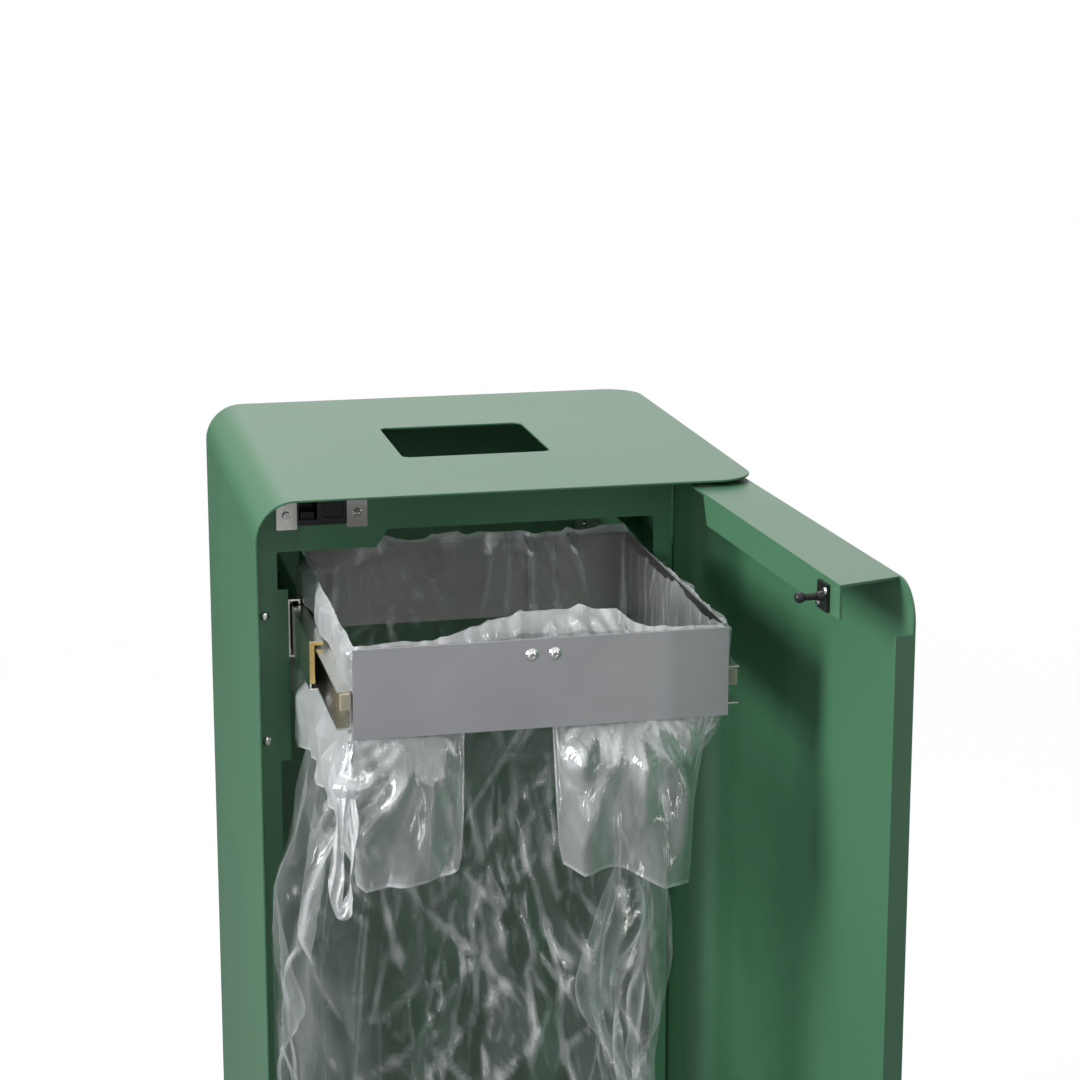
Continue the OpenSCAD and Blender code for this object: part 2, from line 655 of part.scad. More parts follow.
// flanged plastic bush in a door flange; direction is the side the collar lies on
module bush(z, collar_h, up) color(black) swung() translate([pivot[0], pivot[1], z])
    mirror([0, 0, up ? 0 : 1]) difference() {
        union() {
            translate([0, 0, -sheet_t - 2]) cylinder(r = bush_r, h = sheet_t + 2 + eps);
            cylinder(r = bush_r + 3, h = collar_h);
        }
        translate([0, 0, -sheet_t - 3]) cylinder(d = pin_d + 2 * run_gap, h = sheet_t + collar_h + 5);
    }

module upper_bush() bush(door_z1, 1.5, true);
module lower_bush() bush(door_z0, 1.8, false);

housing_wrap();
rear_shell();
base_plate();
front_frame();
frame_screws();
frame_nuts();
slide_bracket_left();
slide_bracket_right();
slide_outer_left();
slide_outer_right();
outer_slide_screws();
slide_middle_left();
slide_middle_right();
middle_ball_cages();
middle_stop_left();
middle_stop_right();
slide_inner_left();
slide_inner_right();
inner_ball_cages();
release_lever_left();
release_lever_right();
inner_slide_screws();
bag_frame();
frame_front_plate();
plate_screws();
plate_nuts();
bin_liner();
door_shell();
ball_stud();
stud_screws();
catch_bracket();
catch_body();
catch_jaws();
catch_screws();
upper_pivot_pin();
lower_pivot_pin();
upper_bush();
lower_bush();
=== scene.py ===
import json
import math

import bmesh
import bpy
import numpy as np
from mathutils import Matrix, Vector


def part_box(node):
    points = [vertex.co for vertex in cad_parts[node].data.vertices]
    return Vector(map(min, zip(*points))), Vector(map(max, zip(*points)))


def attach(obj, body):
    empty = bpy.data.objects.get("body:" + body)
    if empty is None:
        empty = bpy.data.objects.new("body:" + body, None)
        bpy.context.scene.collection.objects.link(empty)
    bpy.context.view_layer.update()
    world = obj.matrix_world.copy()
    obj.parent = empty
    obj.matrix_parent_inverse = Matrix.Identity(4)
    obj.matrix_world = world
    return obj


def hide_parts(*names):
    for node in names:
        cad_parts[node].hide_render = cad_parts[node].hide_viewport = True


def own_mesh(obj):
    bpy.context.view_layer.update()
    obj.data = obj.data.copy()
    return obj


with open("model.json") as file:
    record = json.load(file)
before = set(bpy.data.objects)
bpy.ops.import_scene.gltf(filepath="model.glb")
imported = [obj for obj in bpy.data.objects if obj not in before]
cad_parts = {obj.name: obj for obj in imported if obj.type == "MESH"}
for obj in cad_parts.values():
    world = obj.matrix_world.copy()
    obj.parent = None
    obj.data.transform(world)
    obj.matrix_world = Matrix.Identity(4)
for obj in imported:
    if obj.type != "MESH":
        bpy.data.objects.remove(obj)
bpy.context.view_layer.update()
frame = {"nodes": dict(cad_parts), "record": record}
mm = 0.001

def newGroup(name, inputs, outputs):
    group = bpy.data.node_groups.new(name, "ShaderNodeTree")
    for label, kind, value in inputs:
        socket = group.interface.new_socket(name=label, in_out="INPUT", socket_type=kind)
        if value is not None:
            socket.default_value = value
    for label, kind in outputs:
        group.interface.new_socket(name=label, in_out="OUTPUT", socket_type=kind)
    nodes, links = group.nodes, group.links
    return group, nodes, links, nodes.new("NodeGroupInput"), nodes.new("NodeGroupOutput")


def addNode(nodes, kind, **settings):
    node = nodes.new(kind)
    for name, value in settings.items():
        if name.startswith("in_"):
            node.inputs[name[3:].replace("_", " ")].default_value = value
        else:
            setattr(node, name, value)
    return node


def mathNode(nodes, links, operation, first, second=None, clamp=False):
    node = addNode(nodes, "ShaderNodeMath", operation=operation, use_clamp=clamp)
    for slot, value in enumerate((first, second)):
        if value is None:
            continue
        if isinstance(value, (int, float)):
            node.inputs[slot].default_value = value
        else:
            links.new(value, node.inputs[slot])
    return node.outputs[0]


view = {
    "place": (-0.4501, -2.3715, 1.4988),   # metres, in front of the bin's left half
    "turn": 12.484,                        # degrees to the right of +Y
    "tilt": 12.0,                          # degrees below level
    "lens": 85.99,
    "shiftUp": -0.08,
}


def makeCamera():
    data = bpy.data.cameras.new("camera")
    data.lens = view["lens"]
    data.sensor_width = 36
    data.shift_y = view["shiftUp"]
    data.dof.use_dof = False
    camera = bpy.data.objects.new("camera", data)
    camera.location = view["place"]
    camera.rotation_euler = (math.radians(90 - view["tilt"]), 0, math.radians(-view["turn"]))
    bpy.context.scene.collection.objects.link(camera)
    bpy.context.scene.camera = camera


lamps = {
    # name: place, aim, width, height, watts
    "overhead": ((-0.3, 0.6, 3.3), (0, 0, 0.9), 1.6, 1.6, 27),
    "leftBank": ((-2.6, -0.75, 1.9), (0.1, -0.2, 0.8), 0.9, 1.5, 63),
    "frontStrip": ((-0.6, -3.0, 2.6), (0.0, -0.3, 0.8), 0.10, 1.6, 4),
    "rightStrip": ((1.5, -2.2, 2.4), (0.0, -0.3, 0.8), 0.08, 1.6, 2.2),
    "lowLeft": ((-1.35, -1.80, 0.72), (0.0, -0.35, 0.7), 0.10, 1.3, 3.2),
    "lowRight": ((1.15, -1.80, 0.72), (0.0, -0.35, 0.7), 0.07, 1.3, 1.8),
}


def makeLamps():
    for name, (place, aim, width, height, watts) in lamps.items():
        data = bpy.data.lights.new(name, "AREA")
        data.shape = "RECTANGLE"
        data.size = width
        data.size_y = height
        data.energy = watts
        lamp = bpy.data.objects.new(name, data)
        lamp.location = place
        lamp.rotation_euler = (Vector(aim) - Vector(place)).to_track_quat("-Z", "Y").to_euler()
        bpy.context.scene.collection.objects.link(lamp)


surround = {
    "skyStrength": 0.06,                                # light from all round
    "flagShare": 0.8, "flagSide": (0.05, -0.22), "flagBehind": 0.2,      # a dark flag in reflections
    "floorSize": 60, "floorTone": 0.24, "floorGlow": 0.92,
    "frontMirror": 0.22, "rearMirror": 0.04, "mirrorSpan": (-0.4, 0.5),  # the floor in reflections
    "fadeStart": 1.4, "fadeEnd": 3.2,                   # where the floor gives way to the backdrop
}


def seenRays(nodes, links, direct, mirrored):
    # direct for rays that meet the backdrop straight or through film, mirrored for reflections
    path = addNode(nodes, "ShaderNodeLightPath")
    camera, through = path.outputs["Is Camera Ray"], path.outputs["Is Transmission Ray"]
    straight = mathNode(nodes, links, "MAXIMUM", camera, through)
    reflected = mathNode(nodes, links, "MULTIPLY", path.outputs["Is Glossy Ray"], mirrored)
    total = mathNode(nodes, links, "MULTIPLY_ADD", straight, direct)
    links.new(reflected, total.node.inputs[2])
    return total


def makeBackdrop():
    world = bpy.data.worlds.new("studio")
    bpy.context.scene.world = world
    world.use_nodes = True
    nodes, links = world.node_tree.nodes, world.node_tree.links
    nodes.clear()
    white = (1, 1, 1, 1)
    sky = addNode(nodes, "ShaderNodeBackground", in_Color=white, in_Strength=surround["skyStrength"])
    seen = addNode(nodes, "ShaderNodeBackground", in_Color=white, in_Strength=1)
    # the flag stands behind on the left and keeps the left side and its bend a deep green in reflection
    place = addNode(nodes, "ShaderNodeTexCoord")
    split = addNode(nodes, "ShaderNodeSeparateXYZ")
    links.new(place.outputs["Generated"], split.inputs[0])
    start, full = surround["flagSide"]
    flag = addNode(
        nodes, "ShaderNodeMapRange", interpolation_type="SMOOTHSTEP",
        in_From_Min=start, in_From_Max=full, in_To_Min=1, in_To_Max=1 - surround["flagShare"])
    links.new(split.outputs["X"], flag.inputs["Value"])
    behind = mathNode(nodes, links, "GREATER_THAN", split.outputs["Y"], surround["flagBehind"])
    mirrored = addNode(nodes, "ShaderNodeMix", in_A=1)
    links.new(behind, mirrored.inputs["Factor"])
    links.new(flag.outputs[0], mirrored.inputs["B"])
    mix = addNode(nodes, "ShaderNodeMixShader")
    out = addNode(nodes, "ShaderNodeOutputWorld")
    links.new(seenRays(nodes, links, 1, mirrored.outputs["Result"]), mix.inputs[0])
    links.new(sky.outputs[0], mix.inputs[1])
    links.new(seen.outputs[0], mix.inputs[2])
    links.new(mix.outputs[0], out.inputs[0])


def floorFinish():
    material = bpy.data.materials.new("paleFloor")
    material.use_nodes = True
    nodes, links = material.node_tree.nodes, material.node_tree.links
    nodes.clear()
    matt = addNode(nodes, "ShaderNodeBsdfDiffuse", in_Color=(surround["floorTone"],) * 3 + (1,))
    glow = addNode(nodes, "ShaderNodeEmission")
    place = addNode(nodes, "ShaderNodeTexCoord")
    split = addNode(nodes, "ShaderNodeSeparateXYZ")
    links.new(place.outputs["Object"], split.inputs[0])
    # brighter in reflection before the object than behind it
    near, far = surround["mirrorSpan"]
    mirror = addNode(
        nodes, "ShaderNodeMapRange", in_From_Min=near, in_From_Max=far,
        in_To_Min=surround["frontMirror"], in_To_Max=surround["rearMirror"])
    links.new(split.outputs["Y"], mirror.inputs["Value"])
    links.new(seenRays(nodes, links, surround["floorGlow"], mirror.outputs[0]), glow.inputs["Strength"])
    both = addNode(nodes, "ShaderNodeAddShader")
    links.new(matt.outputs[0], both.inputs[0])
    links.new(glow.outputs[0], both.inputs[1])
    # far from the object the floor gives way to the white backdrop, but not in reflections
    reach = addNode(nodes, "ShaderNodeVectorMath", operation="LENGTH")
    links.new(place.outputs["Object"], reach.inputs[0])
    fade = addNode(
        nodes, "ShaderNodeMapRange", in_From_Min=surround["fadeStart"], in_From_Max=surround["fadeEnd"])
    links.new(reach.outputs["Value"], fade.inputs["Value"])
    gone = mathNode(nodes, links, "MULTIPLY", fade.outputs[0], seenRays(nodes, links, 1, 0))
    clear = addNode(nodes, "ShaderNodeBsdfTransparent")
    mix = addNode(nodes, "ShaderNodeMixShader")
    out = addNode(nodes, "ShaderNodeOutputMaterial")
    links.new(gone, mix.inputs[0])
    links.new(both.outputs[0], mix.inputs[1])
    links.new(clear.outputs[0], mix.inputs[2])
    links.new(mix.outputs[0], out.inputs[0])
    return material


def makeFloor():
    half = surround["floorSize"] / 2
    mesh = bpy.data.meshes.new("floor")
    corners = [(-half, -half, 0), (half, -half, 0), (half, half, 0), (-half, half, 0)]
    mesh.from_pydata(corners, [], [(0, 1, 2, 3)])
    mesh.materials.append(floorFinish())
    floor = bpy.data.objects.new("floor", mesh)
    bpy.context.scene.collection.objects.link(floor)


makeCamera()
makeLamps()
makeBackdrop()
makeFloor()
bpy.context.scene.view_settings.view_transform = "Standard"
print("camera, lamps and floor made")


def makePeelGroup():
    # fine dimples of a sprayed powder coat, slow tone drift, and a paler speckled tone on faces turned upwards,
    # painted sheen for the light that the tops reflect
    group, nodes, links, source, result = newGroup(
        "powderPeel",
        [("Grain Size", "NodeSocketFloat", 900.0), ("Drift", "NodeSocketFloat", 0.1),
            ("Painted Sheen", "NodeSocketFloat", 0.1)],
        [("Height", "NodeSocketFloat"), ("Tone", "NodeSocketFloat"), ("Painted Sheen", "NodeSocketFloat")])
    place = addNode(nodes, "ShaderNodeTexCoord")
    grain = addNode(nodes, "ShaderNodeTexNoise", in_Detail=3.0, in_Roughness=0.6)
    links.new(place.outputs["Object"], grain.inputs["Vector"])
    links.new(source.outputs["Grain Size"], grain.inputs["Scale"])
    broad = addNode(nodes, "ShaderNodeTexNoise", in_Scale=5.0, in_Detail=4.0)
    links.new(place.outputs["Object"], broad.inputs["Vector"])
    centred = mathNode(nodes, links, "SUBTRACT", broad.outputs["Fac"], 0.5)
    drift = mathNode(nodes, links, "MULTIPLY", centred, source.outputs["Drift"])
    speck = addNode(nodes, "ShaderNodeTexNoise", in_Scale=160.0, in_Detail=5.0, in_Roughness=0.7)
    links.new(place.outputs["Object"], speck.inputs["Vector"])
    # a paler speckled tone on faces turned upwards: painted sheen standing in for the light the tops reflect
    facing = addNode(nodes, "ShaderNodeNewGeometry")
    split = addNode(nodes, "ShaderNodeSeparateXYZ")
    links.new(facing.outputs["Normal"], split.inputs[0])
    level = mathNode(nodes, links, "MAXIMUM", split.outputs["Z"], 0.0)
    sheenOnTop = mathNode(nodes, links, "MULTIPLY", level, speck.outputs["Fac"])
    links.new(grain.outputs["Fac"], result.inputs["Height"])
    links.new(drift, result.inputs["Tone"])
    links.new(mathNode(nodes, links, "MULTIPLY", sheenOnTop, source.outputs["Painted Sheen"]), result.inputs["Painted Sheen"])
    return group


def makeBrushGroup():
    # long fine scratches of brushed or rolled metal along one direction
    group, nodes, links, source, result = newGroup(
        "rolledGrain",
        [("Stretch", "NodeSocketVector", (4.0, 60.0, 900.0)), ("Depth", "NodeSocketFloat", 0.1)],
        [("Height", "NodeSocketFloat"), ("Tone", "NodeSocketFloat"), ("Smudge", "NodeSocketFloat")])
    place = addNode(nodes, "ShaderNodeTexCoord")
    stretch = addNode(nodes, "ShaderNodeVectorMath", operation="MULTIPLY")
    links.new(place.outputs["Object"], stretch.inputs[0])
    links.new(source.outputs["Stretch"], stretch.inputs[1])
    streak = addNode(nodes, "ShaderNodeTexNoise", in_Scale=1.0, in_Detail=5.0, in_Roughness=0.65)
    links.new(stretch.outputs[0], streak.inputs["Vector"])
    smudge = addNode(nodes, "ShaderNodeTexNoise", in_Scale=14.0, in_Detail=3.0)
    links.new(place.outputs["Object"], smudge.inputs["Vector"])
    links.new(streak.outputs["Fac"], result.inputs["Height"])
    centred = mathNode(nodes, links, "SUBTRACT", streak.outputs["Fac"], 0.5)
    links.new(mathNode(nodes, links, "MULTIPLY", centred, source.outputs["Depth"]), result.inputs["Tone"])
    links.new(smudge.outputs["Fac"], result.inputs["Smudge"])
    return group


peelGroup = makePeelGroup()
brushGroup = makeBrushGroup()


def startMaterial(name):
    material = bpy.data.materials.new(name)
    material.use_nodes = True
    tree = material.node_tree
    return material, tree.nodes, tree.links, tree.nodes["Principled BSDF"]


def tintedBy(nodes, links, colour, tone):
    # a plain colour made lighter or darker by a value around zero
    shade = addNode(nodes, "ShaderNodeHueSaturation")
    shade.inputs["Color"].default_value = (*colour, 1)
    links.new(mathNode(nodes, links, "ADD", tone, 1.0), shade.inputs["Value"])
    return shade.outputs["Color"]


powder = {
    # the pale colour and its share below paint a sheen onto level faces
    "colour": (0.098, 0.275, 0.150), "sheenColour": (0.42, 0.45, 0.38), "roughness": 0.33, "index": 1.6,
    "grain": 1100.0, "bump": 0.10, "drift": 0.10, "sheenShare": 0.10,
}


def powderCoat():
    material, nodes, links, shader = startMaterial("greenPowderCoat")
    peel = addNode(nodes, "ShaderNodeGroup", node_tree=peelGroup)
    peel.inputs["Grain Size"].default_value = powder["grain"]
    peel.inputs["Drift"].default_value = powder["drift"]
    peel.inputs["Painted Sheen"].default_value = powder["sheenShare"]
    base = tintedBy(nodes, links, powder["colour"], peel.outputs["Tone"])
    # paler colour mixed onto level faces: painted sheen
    pale = addNode(nodes, "ShaderNodeMix", data_type="RGBA")
    pale.inputs[7].default_value = (*powder["sheenColour"], 1)
    links.new(peel.outputs["Painted Sheen"], pale.inputs[0])
    links.new(base, pale.inputs[6])
    links.new(pale.outputs[2], shader.inputs["Base Color"])
    rough = mathNode(nodes, links, "MULTIPLY_ADD", peel.outputs["Tone"], 0.8)
    rough.node.inputs[2].default_value = powder["roughness"]
    links.new(rough, shader.inputs["Roughness"])
    shader.inputs["IOR"].default_value = powder["index"]
    bump = addNode(nodes, "ShaderNodeBump", in_Strength=powder["bump"], in_Distance=0.0002)
    links.new(peel.outputs["Height"], bump.inputs["Height"])
    links.new(bump.outputs[0], shader.inputs["Normal"])
    return material


metals = {
    # name: colour, roughness, stretch of the grain, depth of the grain, bump
    "satinStainless": ((0.50, 0.505, 0.53), 0.44, (3.0, 5.0, 500.0), 0.05, 0.03),
    # the frame's steel, its colour darkened as painted shade for the dark interior it reflects
    "shadedFrameSteel": ((0.30, 0.295, 0.285), 0.30, (3.0, 3.0, 400.0), 0.08, 0.03),
    "brightZinc": ((0.80, 0.79, 0.75), 0.26, (500.0, 12.0, 500.0), 0.16, 0.06),
    "yellowZinc": ((0.66, 0.50, 0.20), 0.30, (60.0, 60.0, 60.0), 0.35, 0.05),
    "polishedScrew": ((0.70, 0.70, 0.71), 0.16, (300.0, 300.0, 300.0), 0.10, 0.03),
}


def metalFinish(name):
    colour, roughness, stretch, depth, strength = metals[name]
    material, nodes, links, shader = startMaterial(name)
    shader.inputs["Metallic"].default_value = 1
    grain = addNode(nodes, "ShaderNodeGroup", node_tree=brushGroup)
    grain.inputs["Stretch"].default_value = stretch
    grain.inputs["Depth"].default_value = depth
    links.new(tintedBy(nodes, links, colour, grain.outputs["Tone"]), shader.inputs["Base Color"])
    rough = mathNode(nodes, links, "MULTIPLY_ADD", grain.outputs["Smudge"], 0.16)
    rough.node.inputs[2].default_value = roughness - 0.08
    links.new(rough, shader.inputs["Roughness"])
    bump = addNode(nodes, "ShaderNodeBump", in_Strength=strength, in_Distance=0.0002)
    links.new(grain.outputs["Height"], bump.inputs["Height"])
    links.new(bump.outputs[0], shader.inputs["Normal"])
    return material


plastics = {
    # name: colour, roughness, grain size
    "blackNylon": ((0.012, 0.012, 0.013), 0.34, 1400.0),
    "ivoryNylon": ((0.66, 0.62, 0.48), 0.42, 1400.0),
}


def plasticFinish(name):
    colour, roughness, grain = plastics[name]
    material, nodes, links, shader = startMaterial(name)
    peel = addNode(nodes, "ShaderNodeGroup", node_tree=peelGroup)
    peel.inputs["Grain Size"].default_value = grain
    peel.inputs["Drift"].default_value = 0.2
    links.new(tintedBy(nodes, links, colour, peel.outputs["Tone"]), shader.inputs["Base Color"])
    shader.inputs["Roughness"].default_value = roughness
    bump = addNode(nodes, "ShaderNodeBump", in_Strength=0.12, in_Distance=0.0002)
    links.new(peel.outputs["Height"], bump.inputs["Height"])
    links.new(bump.outputs[0], shader.inputs["Normal"])
    return material


film = {
    "colour": (0.86, 0.90, 0.92), "roughness": 0.14, "index": 3.0, "blend": 0.28,
    "clear": 0.03, "glance": 0.44, "cloud": 0.06, "cloudSize": 22.0,     # shares of the film's haze
    "streaks": (70.0, 70.0, 17.0), "bump": 0.45,
}


def filmFinish():
    # clear film: thin where it faces the eye, white at glancing angles and at doubled layers, with painted
    # highlights along creases and a painted light band at the rim
    material, nodes, links, shader = startMaterial("clearFilm")
    shader.inputs["Base Color"].default_value = (*film["colour"], 1)
    shader.inputs["Roughness"].default_value = film["roughness"]
    shader.inputs["IOR"].default_value = film["index"]
    glance = addNode(nodes, "ShaderNodeLayerWeight", in_Blend=film["blend"])
    # this mesh attribute whitens the film: painted highlights along creases, a painted light band at the rim,
    # and the film's own haze on cuff and tie
    hazeAndHighlight = addNode(nodes, "ShaderNodeAttribute", attribute_name="hazeAndHighlight")
    place = addNode(nodes, "ShaderNodeTexCoord")
    haze = addNode(nodes, "ShaderNodeTexNoise", in_Scale=film["cloudSize"], in_Detail=6.0, in_Distortion=1.2)
    links.new(place.outputs["Object"], haze.inputs["Vector"])
    edge = mathNode(nodes, links, "MULTIPLY", glance.outputs["Facing"], film["glance"])
    cloud = mathNode(nodes, links, "MULTIPLY_ADD", haze.outputs["Fac"], film["cloud"])
    cloud.node.inputs[2].default_value = film["clear"] - film["cloud"] / 2
    folded = mathNode(nodes, links, "ADD", edge, hazeAndHighlight.outputs["Fac"])
    total = mathNode(nodes, links, "ADD", folded, cloud, clamp=True)
    links.new(total, shader.inputs["Alpha"])
    stretch = addNode(nodes, "ShaderNodeVectorMath", operation="MULTIPLY")
    stretch.inputs[1].default_value = film["streaks"]
    links.new(place.outputs["Object"], stretch.inputs[0])
    fine = addNode(nodes, "ShaderNodeTexNoise", in_Scale=1.0, in_Detail=3.0, in_Distortion=0.8)
    links.new(stretch.outputs[0], fine.inputs["Vector"])
    bump = addNode(nodes, "ShaderNodeBump", in_Strength=film["bump"], in_Distance=0.004)
    links.new(fine.outputs["Fac"], bump.inputs["Height"])
    links.new(bump.outputs[0], shader.inputs["Normal"])
    return material


finishes = {
    "powder_coat": powderCoat(),
    "stainless": metalFinish("satinStainless"),
    "zinc": metalFinish("brightZinc"),
    "yellow_zinc": metalFinish("yellowZinc"),
    "screw_steel": metalFinish("polishedScrew"),
    "black_plastic": plasticFinish("blackNylon"),
    "ivory_plastic": plasticFinish("ivoryNylon"),
    "film": filmFinish(),
}
print("finishes made")

slotOf = {part["node"]: part["material_slot"] for part in frame["record"]["subparts"]}
bodyOf = {node: body for body, members in frame["record"]["behaviour"]["bodies"].items() for node in members}
edgeRounding = {
    # radius in millimetres of the broken edges
    "housing_wrap": 0.5, "rear_shell": 0.5, "base_plate": 0.6, "front_frame": 0.5, "door_shell": 0.5,
    "slide_bracket_left": 0.4, "slide_bracket_right": 0.4, "bag_frame": 0.3, "frame_front_plate": 0.35,
    "slide_outer_left": 0.3, "slide_outer_right": 0.3, "slide_middle_left": 0.3, "slide_middle_right": 0.3,
    "slide_inner_left": 0.3, "slide_inner_right": 0.3, "middle_stop_left": 0.3, "middle_stop_right": 0.3,
    "release_lever_left": 0.5, "release_lever_right": 0.5, "catch_bracket": 0.3, "catch_body": 0.7,
    "ball_stud": 0.3,
}


nodeFinish = {"bag_frame": metalFinish("shadedFrameSteel")}   # a darker steel colour for the frame, painted shade for the dark interior its walls reflect


def finishOf(node):
    return nodeFinish.get(node, finishes[slotOf[node]])


def dress(node):
    piece = frame["nodes"][node]
    piece.data.materials.clear()
    piece.data.materials.append(finishOf(node))


def roundEdges(node, radius):
    # a merged copy of the part with its sharp edges broken by a small round
    source = frame["nodes"][node]
    mesh = source.data.copy()
    work = bmesh.new()
    work.from_mesh(mesh)
    bmesh.ops.remove_doubles(work, verts=work.verts, dist=1e-6)
    bmesh.ops.dissolve_limit(work, angle_limit=math.radians(0.5), verts=work.verts, edges=work.edges)
    for face in work.faces:
        face.smooth = True
    work.to_mesh(mesh)
    work.free()
    piece = bpy.data.objects.new(node + "Finished", mesh)
    bpy.context.scene.collection.objects.link(piece)
    bevel = piece.modifiers.new("brokenEdge", "BEVEL")
    bevel.width = radius * mm
    bevel.segments = 2
    bevel.limit_method = "ANGLE"
    bevel.angle_limit = math.radians(40)
    even = piece.modifiers.new("evenShading", "WEIGHTED_NORMAL")
    even.weight = 100
    mesh.materials.clear()
    mesh.materials.append(finishOf(node))
    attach(piece, bodyOf[node])
    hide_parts(node)
    return piece


for nodeName in frame["nodes"]:
    if nodeName in edgeRounding:
        roundEdges(nodeName, edgeRounding[nodeName])
    else:
        dress(nodeName)
print("built pieces finished")

# the film bag is tucked over the bag frame's rim and hangs inside and outside it
ringLow, ringHigh = (np.array(corner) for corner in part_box("bag_frame"))
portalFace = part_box("front_frame")[0][1]                  # front face of the fixed frame behind the door
slideLow, slideHigh = (np.array(corner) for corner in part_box("slide_inner_left"))
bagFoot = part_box("bin_liner")[0][2]

bag = {
    "around": 420, "down": 196, "cuffDown": 96, "rowSpacing": 1.15,   # grid steps, wider towards the foot
    "cornerRadius": 5.0 * mm, "softRadius": 62.0 * mm, "wall": 1.5 * mm, "wallGap": 0.8 * mm,
    "leftBulge": 50.0 * mm, "bulgeStart": 18.0 * mm, "bulgeDrop": 165.0 * mm,   # it spreads left below the frame
    "frontHollow": 24.0 * mm, "rightHollow": 42.0 * mm, "backHollow": 12.0 * mm,
    "frontStart": (-10 * mm, 80 * mm), "rightStart": (-10 * mm, 90 * mm), "leftStart": (20 * mm, 120 * mm),
    "waistShare": 0.26, "waistPlace": 85.0 * mm, "waistLength": 42.0 * mm,      # the right side draws in
    "rounding": (-5 * mm, 120 * mm), "release": (-12 * mm, 55 * mm),   # drops past the frame's lower edge
    "portalGap": (4 * mm, 60 * mm), "insideLimit": 2.0 * mm,   # it stays within the housing's opening
    "tautRight": 0.55, "calmRight": 0.75, "leftFolds": 1.15, "liningMost": 15.0 * mm,
    "hangShare": 0.92, "closeFrom": 0.90, "narrowFrom": 0.72, "footNarrowing": 0.62,
    "leftLimit": -0.222, "seed": 11,
    "waves": [(0.127, 0.0150, 2.0), (0.069, 0.0090, 1.6), (0.037, 0.0036, 1.3)],    # length, depth, bend
    "wander": 9.0 * mm, "wanderSize": (0.06, 0.06, 0.19),
    "creases": [
        {"seed": 21, "count": 90, "lengths": (0.12, 0.50), "widths": (0.012, 0.042), "depths": (0.007, 0.020),
            "lean": 0.34},
        {"seed": 22, "count": 190, "lengths": (0.04, 0.14), "widths": (0.005, 0.014), "depths": (0.0015, 0.005),
            "lean": 0.8},
    ],
    # how much sharp folds whiten the film: painted highlights
    "creaseHighlight": 0.60,
}

rim = {
    # the film's edge above the frame, and the roll of film behind the front plate
    "clear": 1.4 * mm, "pucker": 2.2 * mm, "backPucker": 4.0 * mm,
    "puckerSize": (0.034, 0.034, 1), "finePuckerSize": (0.013, 0.013, 1),
    "rollStart": (45 * mm, 150 * mm), "rollEnd": (190 * mm, 262 * mm),    # from the frame's left face
    "rollHeight": 17 * mm, "rollPucker": 4.0 * mm, "rollDepth": 22 * mm, "rollInset": 10 * mm,
    "rollMiddle": 18 * mm, "rollSpread": 16 * mm,
    # the haze share and its drop below make a whiter band just under the rim: painted light for the lit band at
    # the top of the frame's walls
    "fade": 30 * mm, "haze": 0.22, "paintedBandDrop": 10 * mm,
}


def smoothStep(value, start, end):
    share = np.clip((value - start) / (end - start), 0, 1)
    return share * share * (3 - 2 * share)


def latticeNoise(points, seed):
    # random values on a cube lattice, blended along each axis by a cubic step
    table = np.random.default_rng(seed).random((32, 32, 32))
    cell = np.floor(points).astype(int)
    step = points - cell
    step = step * step * (3 - 2 * step)
    total = np.zeros(points.shape[:-1])
    for corner in np.ndindex(2, 2, 2):
        index = (cell + corner) % 32
        weight = np.prod(np.where(np.array(corner, bool), step, 1 - step), axis=-1)
        total += weight * table[index[..., 0], index[..., 1], index[..., 2]]
    return total


def foldWave(phase):
    # a triangle wave from -1 to 1 with sharp ridges, one fold for each whole phase
    return 4 * np.abs(phase - np.floor(phase) - 0.5) - 1


def crumple(points, normals, seed, layers):
    # slanted triangle waves, each bent by slow noise and faded in patches; on the front and back
    # they run across X, on the sides across Y, so that the sleeve closes on itself
    rng = np.random.default_rng(seed)
    height = np.zeros(points.shape[:-1])
    facing = normals[..., 1] ** 2
    for length, depth, bend in layers:
        lean = rng.uniform(-0.45, 0.45)
        shift = latticeNoise(points / (length * 2.2) + rng.random(3) * 9, seed + int(length * 1e5))
        patch = smoothStep(latticeNoise(points / (length * 1.7) + rng.random(3) * 9, seed + 1), 0.25, 0.7)
        start = rng.random(2)
        onFront = foldWave((points[..., 0] + lean * points[..., 2]) / length + bend * shift + start[0])
        onSide = foldWave((points[..., 1] - lean * points[..., 2]) / length + bend * shift + start[1])
        height += depth * (0.25 + 0.75 * patch) * (facing * onFront + (1 - facing) * onSide)
    return height


def ridges(points, size, seed):
    # 1 along wandering lines where the noise crosses its middle, falling sharply to each side
    return 1 - np.abs(2 * latticeNoise(points / np.array(size), seed) - 1) * 1.6


